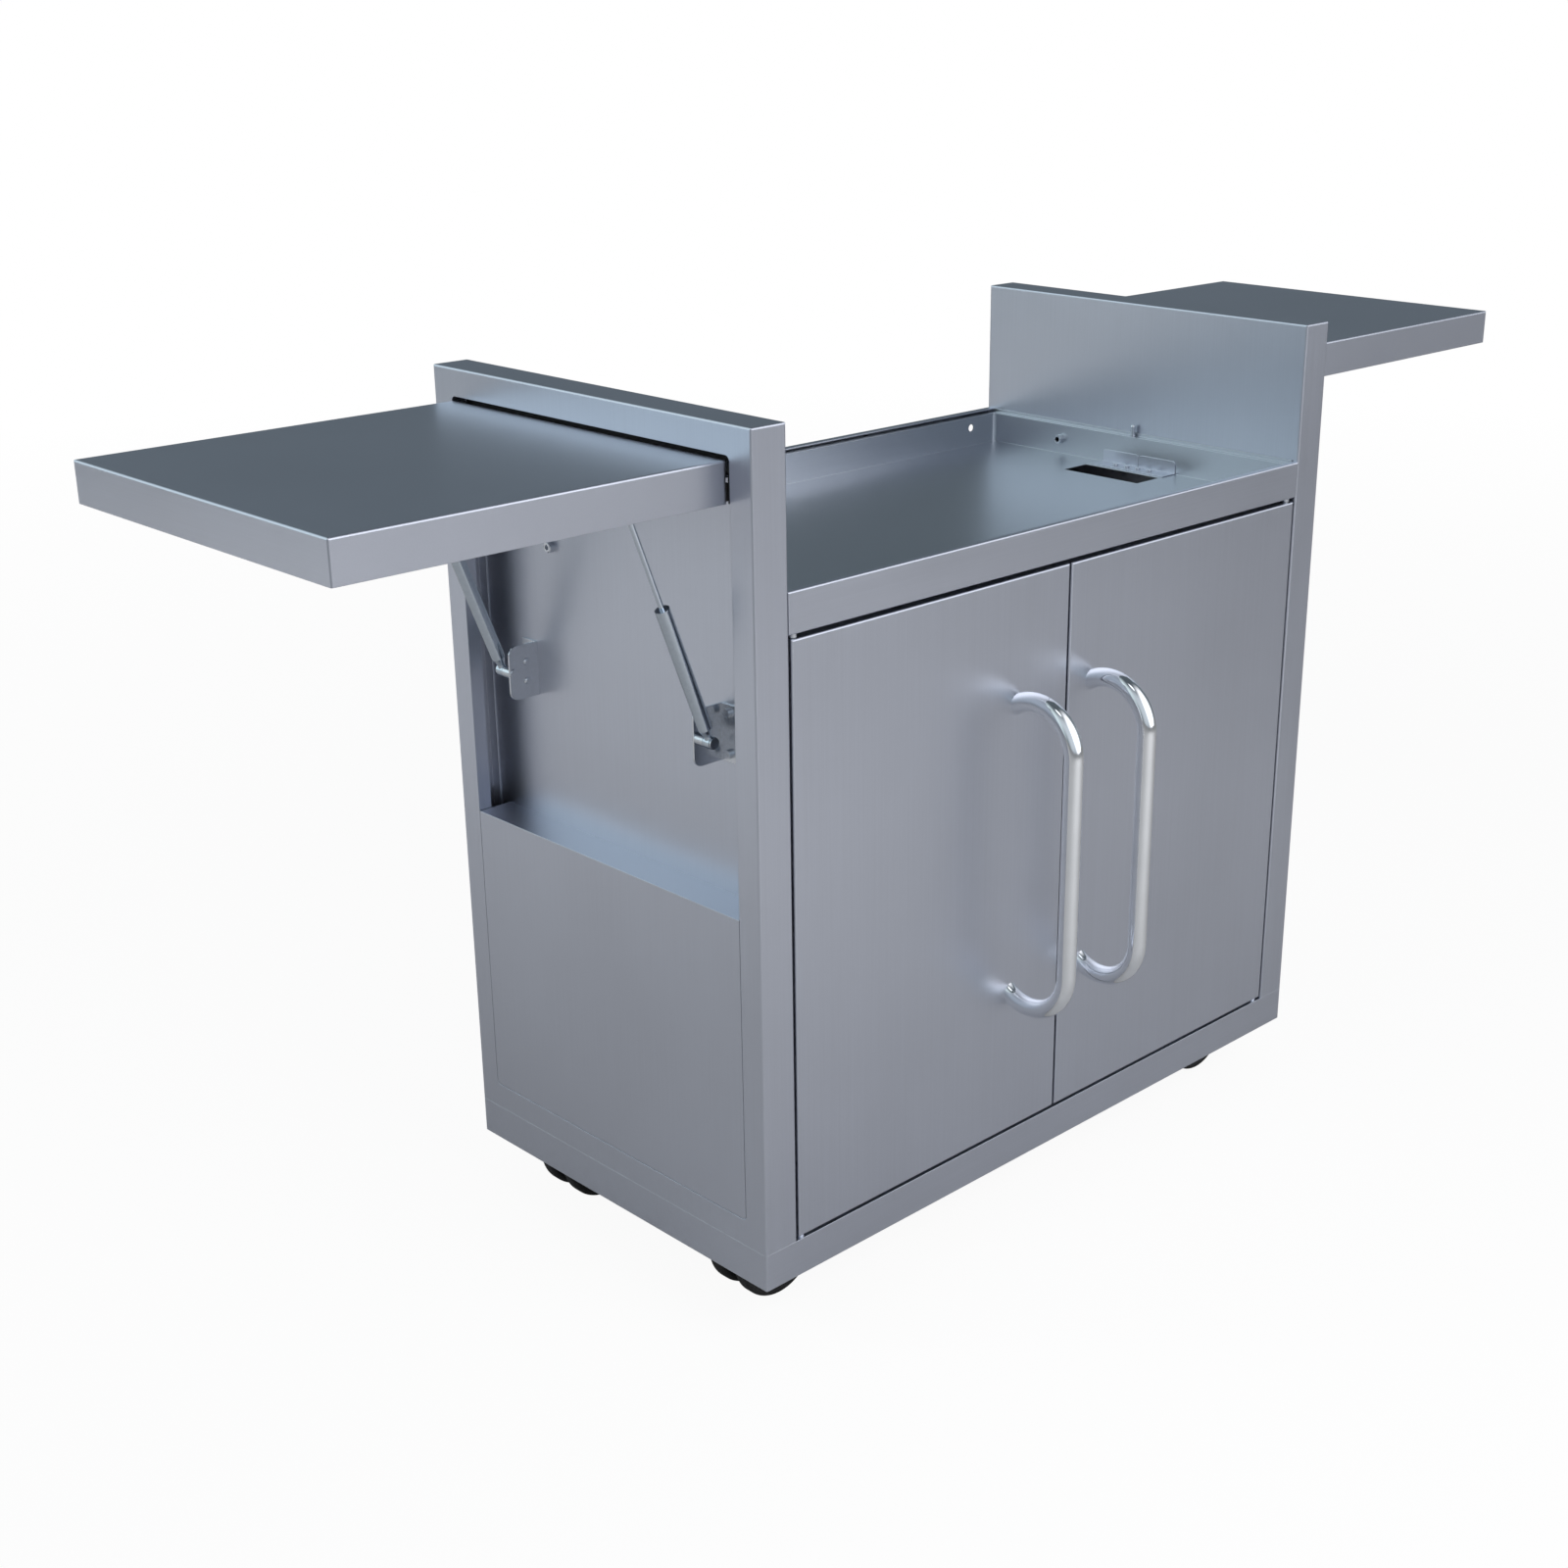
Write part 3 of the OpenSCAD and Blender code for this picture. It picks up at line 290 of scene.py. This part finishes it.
SHEET = (0.575, 0.60, 0.675)
SHEET_ROUGHNESS = 0.36
BLACK = (0.010, 0.010, 0.011)
MATERIALS = {
    "panel_z": brushed_steel("steel_grain_upright", SHEET, SHEET_ROUGHNESS, "along_z"),
    "panel_x": brushed_steel("steel_grain_across", SHEET, SHEET_ROUGHNESS, "along_x"),
    "panel_y": brushed_steel("steel_grain_deep", SHEET, SHEET_ROUGHNESS, "along_y"),
    "tray": brushed_steel("steel_tray", (0.52, 0.55, 0.60), 0.34, "along_x"),
    "chrome_tube": chrome("chrome", (0.90, 0.92, 0.95)),
    "strut_rod": chrome("strut_rod", (0.62, 0.68, 0.76)),
    "strut_tube": zinc("strut_tube", (0.55, 0.61, 0.68), 0.18),
    "zinc_hardware": zinc("zinc", (0.66, 0.69, 0.74), 0.24),
    "black_paint": dull("black_paint", BLACK, 0.40, 420.0),
    "black_nylon": dull("black_nylon", BLACK, 0.50, 700.0),
    "black_rubber": dull("black_rubber", BLACK, 0.66, 900.0),
}

GRAIN_OF_NODE = {
    "front_rail": "panel_x", "rear_rail": "panel_x", "plinth": "panel_x", "base_floor": "panel_x",
    "back_panel": "panel_x", "tray_rests": "panel_y", "slot_flaps": "panel_y",
    "left_shelf_pan": "panel_y", "right_shelf_pan": "panel_y",
    "left_shelf_stiffener": "panel_x", "right_shelf_stiffener": "panel_x",
}


def dress_frame():
    """Gives each CAD node the material of its slot, with the grain of its sheet."""
    for part in frame["record"]["subparts"]:
        name, slot = part["node"], part["material_slot"]
        key = {"brushed_panel": GRAIN_OF_NODE.get(name, "panel_z"), "tray_steel": "tray"}.get(slot, slot)
        if name.endswith("_rod"):
            key = "strut_rod"
        elif name.endswith("_cylinder"):
            key = "strut_tube"
        elif name == "shelf_pivot_washers":
            key = "black_nylon"  # black as painted shade for the dark slot, where no light washer shows
        mesh = nodes[name].data
        mesh.materials.clear()
        mesh.materials.append(MATERIALS[key])


# Small pieces that the CAD leaves out, and black strips of painted shade in the shelf slots

ROUND_SIDES = 48
BUTTON_D = 11 * MM
BUTTON_H = 6 * MM
BUTTON_CHAMFER = 0.8 * MM
SOCKET_ACROSS = 5 * MM
SOCKET_DEPTH = 3 * MM

FOOT_PLATE_Y = 139.8 * MM  # inner face of a strut foot's plate, from the cabinet's middle plane
FOOT_PLATE_T = 2 * MM
RIVET_X = 405.6 * MM
RIVET_Z = (605.5 * MM, 625.5 * MM)
RIVET_PROFILE = (  # distance from the plate's inner face, radius
    (-1.8 * MM, 0.4 * MM), (-1.65 * MM, 1.7 * MM), (-1.0 * MM, 3.1 * MM), (0, 3.7 * MM), (0, 2.7 * MM),
    (FOOT_PLATE_T, 2.7 * MM), (FOOT_PLATE_T, 3.4 * MM), (FOOT_PLATE_T + 0.9 * MM, 2.6 * MM),
    (FOOT_PLATE_T + 1.2 * MM, 0.4 * MM),
)

OPENING_HALF_Y = 203.5 * MM
OPENING_TOP = 888.3 * MM
FLANGE_END_X = 414.5 * MM  # the folded rim of the shelf's opening runs from here to the tower's face
TOWER_FACE_X = 430 * MM
OPENING_ENDS = (CABINET_Y - OPENING_HALF_Y + MM, CABINET_Y + OPENING_HALF_Y - MM)
# the lip and pads below are black strips of painted shade in the slot round each shelf
LIP_T = 2.4 * MM
LIP_DROP = 19.8 * MM
LIP_RISE = 4 * MM        # the lip's root stands on the end of the rim, this far above the opening
LIP_SET_BACK = 0.7 * MM  # below its root the lip stands this far behind the rim
PAD_T = 2.7 * MM
PAD_X = (FLANGE_END_X + MM, TOWER_FACE_X - 0.4 * MM)
PAD_Z = (846 * MM, 868.3 * MM)
PAD_EDGE_X = 427 * MM  # from here outwards the pad reaches higher, up to the pivot washer
PAD_EDGE_Z = (866 * MM, 871.2 * MM)
# the end pads are black pieces of painted shade in the slot, at the shelf pan's inner corners
END_PAD_X = (426.5 * MM, 431.2 * MM)
END_PAD_Y = (188 * MM, 199.9 * MM)
END_PAD_Z = (848 * MM, 863.8 * MM)
SHADE_STRIP_EDGE = 0.5 * MM
SHADE_STRIP_EDGE_STEPS = 2
ROUND_PROFILE = 0.5  # makes a bevel's section a quarter of a circle


def round_wall(radius):
    """A turned wall's distance from the axis, which is the same at every angle."""
    return lambda angle: radius


def hexagon_wall(angle):
    """The socket wall's distance from the axis."""
    sixth = math.radians(60)
    return SOCKET_ACROSS / 2 / math.cos((angle + sixth / 2) % sixth - sixth / 2)


def lathe(mesh, rings, start, along, across):
    """Closed turned form, from rings of a distance along the axis and a wall round it."""
    start, along, across = Vector(start), Vector(along), Vector(across)
    other = along.cross(across)
    loops = []
    for distance, wall in rings:
        loop = []
        for step in range(ROUND_SIDES):
            angle = math.tau * step / ROUND_SIDES
            spoke = across * math.cos(angle) + other * math.sin(angle)
            loop.append(mesh.verts.new(start + along * distance + spoke * wall(angle)))
        loops.append(loop)
    for first, second in zip(loops, loops[1:]):
        for step in range(ROUND_SIDES):
            after = (step + 1) % ROUND_SIDES
            mesh.faces.new((first[step], first[after], second[after], second[step]))
    mesh.faces.new(loops[0])
    mesh.faces.new(loops[-1])


def strip(mesh, low, high):
    """Strip between two corners, with its edges taken off; each one is a black piece of painted shade in a
    shelf slot.
    """
    made = bmesh.ops.create_cube(mesh, size=1.0)["verts"]
    middle = (Vector(low) + Vector(high)) / 2
    size = Vector(high) - Vector(low)
    for vert in made:
        vert.co = middle + Vector(vert.co[i] * abs(size[i]) for i in range(3))
    edges = {edge for vert in made for edge in vert.link_edges}
    bmesh.ops.bevel(mesh, geom=list(edges), affect="EDGES", offset=SHADE_STRIP_EDGE,
                    segments=SHADE_STRIP_EDGE_STEPS, profile=ROUND_PROFILE)


def add_piece(name, mesh, slot, body="root"):
    """Turns the built mesh into a piece of that body with the finish of that slot."""
    bmesh.ops.recalc_face_normals(mesh, faces=mesh.faces)
    data = bpy.data.meshes.new(name)
    mesh.to_mesh(data)
    mesh.free()
    data.materials.append(MATERIALS[slot])
    piece = bpy.data.objects.new(name, data)
    bpy.context.scene.collection.objects.link(piece)
    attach(piece, body)
    return piece


def shelf_stops():
    """Round stop buttons with a hexagon socket, one on each tower liner, for the folded shelf."""
    low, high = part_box("shelf_bumpers")
    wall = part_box("tower_liners")[1][0]
    rings = (
        (0, round_wall(BUTTON_D / 2)),
        (BUTTON_H - BUTTON_CHAMFER, round_wall(BUTTON_D / 2)),
        (BUTTON_H, round_wall(BUTTON_D / 2 - BUTTON_CHAMFER)),
        (BUTTON_H, hexagon_wall),
        (BUTTON_H - SOCKET_DEPTH, hexagon_wall),
    )
    mesh = bmesh.new()
    for side in (-1, 1):
        start = (side * wall, (low[1] + high[1]) / 2, (low[2] + high[2]) / 2)
        lathe(mesh, rings, start, (side, 0, 0), (0, 1, 0))
    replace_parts(add_piece("shelf_stop_buttons", mesh, "zinc_hardware"), "shelf_bumpers")


def foot_rivets():
    """Two rivets in the plate of each strut foot."""
    rings = [(distance, round_wall(radius)) for distance, radius in RIVET_PROFILE]
    mesh = bmesh.new()
    for side in (-1, 1):
        for end in (-1, 1):
            for z in RIVET_Z:
                start = (side * RIVET_X, CABINET_Y + end * FOOT_PLATE_Y, z)
                lathe(mesh, rings, start, (0, end, 0), (1, 0, 0))
    add_piece("strut_foot_rivets", mesh, "zinc_hardware")


def shelf_slot_shade_strips():
    """Black strips with a rubber finish behind the slot round each shelf, a painted shade for the dark
    slot: a lip along the top and a pad beside each end.
    """
    mesh = bmesh.new()
    near, far = OPENING_ENDS
    lip_x = FLANGE_END_X - LIP_SET_BACK
    lip_top = OPENING_TOP + LIP_RISE
    for side in (-1, 1):
        strip(mesh, (side * (lip_x - LIP_T), near, OPENING_TOP - LIP_DROP), (side * lip_x, far, lip_top))
        strip(mesh, (side * (lip_x - LIP_T), near, OPENING_TOP), (side * FLANGE_END_X, far, lip_top))
        for end in (-1, 1):
            inner, outer = (CABINET_Y + end * y for y in (OPENING_HALF_Y - PAD_T, OPENING_HALF_Y))
            strip(mesh, (side * PAD_X[0], inner, PAD_Z[0]), (side * PAD_X[1], outer, PAD_Z[1]))
            strip(mesh, (side * PAD_EDGE_X, inner, PAD_EDGE_Z[0]), (side * PAD_X[1], outer, PAD_EDGE_Z[1]))
    # black rubber finish, standing in as painted shade for the dark slot
    add_piece("shelf_slot_shade_strips", mesh, "black_rubber")


def shelf_end_shade_pads():
    """Black pads with a rubber finish across the inner corners of each shelf pan, a painted shade in the
    slot, which turn with it.
    """
    for side, body in ((-1, "left_shelf"), (1, "right_shelf")):
        mesh = bmesh.new()
        for end in (-1, 1):
            strip(mesh, (side * END_PAD_X[0], CABINET_Y + end * END_PAD_Y[0], END_PAD_Z[0]),
                  (side * END_PAD_X[1], CABINET_Y + end * END_PAD_Y[1], END_PAD_Z[1]))
        # black rubber finish, standing in as painted shade in the slot
        add_piece(f"{body}_end_shade_pads", mesh, "black_rubber", body)


# Studio

def ray_is(tree, *names):
    """1 for the named kinds of ray."""
    path = tree.nodes.new("ShaderNodeLightPath")
    total = path.outputs[names[0]]
    for name in names[1:]:
        total = math_node(tree, "MAXIMUM", total, path.outputs[name])
    return total


def compass(azimuth, elevation):
    """Unit vector towards a place in the studio: degrees anticlockwise from +X, and degrees up."""
    flat = math.cos(math.radians(elevation))
    return (flat * math.cos(math.radians(azimuth)), flat * math.sin(math.radians(azimuth)),
            math.sin(math.radians(elevation)))


def lobe(tree, direction, aim, edge, core, colour):
    """A soft round light in the studio's surround, from nothing at edge degrees off aim to full at core."""
    dot = tree.nodes.new("ShaderNodeVectorMath")
    dot.operation = "DOT_PRODUCT"
    dot.inputs[1].default_value = aim
    tree.links.new(direction, dot.inputs[0])
    fade = tree.nodes.new("ShaderNodeMapRange")
    fade.interpolation_type = "SMOOTHSTEP"
    fade.inputs["From Min"].default_value = math.cos(math.radians(edge))
    fade.inputs["From Max"].default_value = math.cos(math.radians(core))
    tree.links.new(dot.outputs["Value"], fade.inputs["Value"])
    scale = tree.nodes.new("ShaderNodeVectorMath")
    scale.operation = "SCALE"
    scale.inputs[0].default_value = colour
    tree.links.new(fade.outputs["Result"], scale.inputs["Scale"])
    return scale.outputs["Vector"]


def add_vectors(tree, first, second):
    """The sum of two colours or directions."""
    node = tree.nodes.new("ShaderNodeVectorMath")
    node.operation = "ADD"
    tree.links.new(first, node.inputs[0])
    tree.links.new(second, node.inputs[1])
    return node.outputs["Vector"]


WHITE = (1.0, 1.0, 1.0, 1.0)
AIR = 0.38                     # strength of the even light on matt surfaces
AIR_COLOUR = (0.93, 0.96, 1.0, 1.0)
WALLS = (0.145, 0.177, 0.200)  # what metal shows of the studio where no light stands
SURROUND = (  # aim, edge, core and colour of each light that metal shows; the last one dims the ceiling
    (compass(-66, 26), 52, 14, (1.70, 1.70, 1.74)),
    (compass(135, 22), 60, 14, (0.87, 1.01, 1.03)),
    (compass(-135, 25), 45, 12, (0.44, 0.47, 0.50)),
    (compass(-135, 70), 9, 6, (1.50, 1.55, 1.60)),
    (compass(0, 90), 60, 20, (-0.055, -0.068, -0.075)),
)


def mix_shaders(tree, share, first, second):
    """A mix node between two shader sockets."""
    node = tree.nodes.new("ShaderNodeMixShader")
    tree.links.new(share, node.inputs["Fac"])
    tree.links.new(first, node.inputs[1])
    tree.links.new(second, node.inputs[2])
    return node.outputs["Shader"]


def make_world():
    """Even air for matt surfaces, soft lights for metal to show, and white behind it all for the camera."""
    world = bpy.data.worlds.new("studio_air")
    bpy.context.scene.world = world
    world.use_nodes = True
    tree = world.node_tree
    tree.nodes.clear()
    output = tree.nodes.new("ShaderNodeOutputWorld")
    direction = tree.nodes.new("ShaderNodeTexCoord").outputs["Generated"]
    walls = tree.nodes.new("ShaderNodeCombineXYZ")
    for socket, value in zip(walls.inputs, WALLS):
        socket.default_value = value
    total = walls.outputs["Vector"]
    for light in SURROUND:
        total = add_vectors(tree, total, lobe(tree, direction, *light))
    soft = tree.nodes.new("ShaderNodeBackground")
    soft.inputs["Color"].default_value = AIR_COLOUR
    soft.inputs["Strength"].default_value = AIR
    shown = tree.nodes.new("ShaderNodeBackground")
    tree.links.new(total, shown.inputs["Color"])
    white = tree.nodes.new("ShaderNodeBackground")
    white.inputs["Strength"].default_value = 1.0
    white.inputs["Color"].default_value = WHITE
    reflected = mix_shaders(tree, ray_is(tree, "Is Glossy Ray"),
                            soft.outputs["Background"], shown.outputs["Background"])
    seen = mix_shaders(tree, ray_is(tree, "Is Camera Ray", "Is Transmission Ray"),
                       reflected, white.outputs["Background"])
    tree.links.new(seen, output.inputs["Surface"])


FLOOR_HALF = 30.0                    # metres, half of its side
FLOOR_PAINT = (0.80, 0.80, 0.80)
FLOOR_SEEN = 0.94                    # share of the floor's white that is its own, seen directly
FLOOR_FADE = (1.6, 5.0)              # distances from the origin over which it turns to plain white
FLOOR_MIRRORED = (0.50, 0.50, 0.50)  # the paint as metal shows it
FLOOR_GLOW_WITH_PAINTED_SHADE = (0.0, 0.05)             # its own light there, near the cart and far from it: less near the cart, a painted shade
FLOOR_PAINTED_SHADE_FADE = (0.5, 1.5)         # and the distances over which that painted shade fades out


def make_floor():
    """A wide pale floor that keeps the cart's shadow and runs into the white background; as metal shows it,
    its glow is less near the cart, a painted shade.
    """
    mesh = bpy.data.meshes.new("floor")
    half = FLOOR_HALF
    corners = [(-half, -half, 0), (half, -half, 0), (half, half, 0), (-half, half, 0)]
    mesh.from_pydata(corners, [], [(0, 1, 2, 3)])
    floor = bpy.data.objects.new("floor", mesh)
    bpy.context.scene.collection.objects.link(floor)
    material = bpy.data.materials.new("floor_paint")
    material.use_nodes = True
    tree = material.node_tree
    tree.nodes.clear()
    output = tree.nodes.new("ShaderNodeOutputMaterial")
    matt = tree.nodes.new("ShaderNodeBsdfDiffuse")
    glossy = ray_is(tree, "Is Glossy Ray")
    tree.links.new(mix_colour(tree, glossy, FLOOR_PAINT, FLOOR_MIRRORED), matt.inputs["Color"])
    glow = tree.nodes.new("ShaderNodeEmission")
    glow.inputs["Strength"].default_value = 1.0
    distance = tree.nodes.new("ShaderNodeVectorMath")
    distance.operation = "LENGTH"
    tree.links.new(coordinates(tree), distance.inputs[0])
    share = remap(tree, distance.outputs["Value"], FLOOR_SEEN, 1.0, *FLOOR_FADE)
    direct = math_node(tree, "MULTIPLY", ray_is(tree, "Is Camera Ray", "Is Transmission Ray"), share)
    # painted shade: the glow that metal shows is less near the cart
    glow_with_painted_shade = remap(tree, distance.outputs["Value"], *FLOOR_GLOW_WITH_PAINTED_SHADE, *FLOOR_PAINTED_SHADE_FADE)
    mirrored = math_node(tree, "MULTIPLY", glossy, glow_with_painted_shade)
    own_light = math_node(tree, "MAXIMUM", direct, mirrored)
    paint = mix_shaders(tree, own_light, matt.outputs["BSDF"], glow.outputs["Emission"])
    tree.links.new(paint, output.inputs["Surface"])
    mesh.materials.append(material)


SOFTBOX_SIZE = 1.4
SOFTBOXES = (  # name, place, aim on the floor and power in watts
    ("front_softbox", (0.0, -2.3, 2.1), (0.0, -2.3, 0), 58.0),
    ("back_softbox", (-2.7, 2.0, 2.0), (-2.7, 2.0, 0), 55.0),
)


def make_lamp(name, place, target, power):
    """A softbox over a part of the floor that the steel shows; the box itself doesn't show in it."""
    data = bpy.data.lights.new(name, "AREA")
    data.shape = "RECTANGLE"
    data.size = data.size_y = SOFTBOX_SIZE
    data.energy = power
    lamp = bpy.data.objects.new(name, data)
    bpy.context.scene.collection.objects.link(lamp)
    lamp.location = place
    lamp.rotation_mode = "QUATERNION"
    lamp.rotation_quaternion = (Vector(target) - Vector(place)).to_track_quat("-Z", "Y")
    lamp.visible_glossy = False
    lamp.visible_camera = False


CAMERA_PLACE = (-1672.3 * MM, -1610.3 * MM + CABINET_Y, 1276.2 * MM)
CAMERA_YAW = math.radians(-45.08)
CAMERA_PITCH = math.radians(-20.88)
CAMERA_ROLL = math.radians(0.013)
PHOTO_SIZE = 1600.0            # pixels
FOCAL_PIXELS = 2248.9
CENTRE_PIXEL = (885.2, 828.7)  # where the lens's axis meets the photograph
SENSOR_WIDTH = 36.0            # millimetres, the unit of the lens too


def make_camera():
    """The photograph's viewpoint, solved from the cart's straight edges."""
    data = bpy.data.cameras.new("camera")
    data.sensor_width = SENSOR_WIDTH
    data.lens = FOCAL_PIXELS / PHOTO_SIZE * data.sensor_width
    data.shift_x = (PHOTO_SIZE / 2 - CENTRE_PIXEL[0]) / PHOTO_SIZE
    data.shift_y = (CENTRE_PIXEL[1] - PHOTO_SIZE / 2) / PHOTO_SIZE
    camera = bpy.data.objects.new("camera", data)
    camera.location = CAMERA_PLACE
    camera.rotation_euler = (math.pi / 2 + CAMERA_PITCH, CAMERA_ROLL, CAMERA_YAW)
    bpy.context.scene.collection.objects.link(camera)
    bpy.context.scene.camera = camera


make_camera()
dress_frame()
shelf_stops()
foot_rivets()
shelf_slot_shade_strips()
shelf_end_shade_pads()
make_world()
make_floor()
for softbox in SOFTBOXES:
    make_lamp(*softbox)
bpy.context.scene.view_settings.view_transform = "Standard"
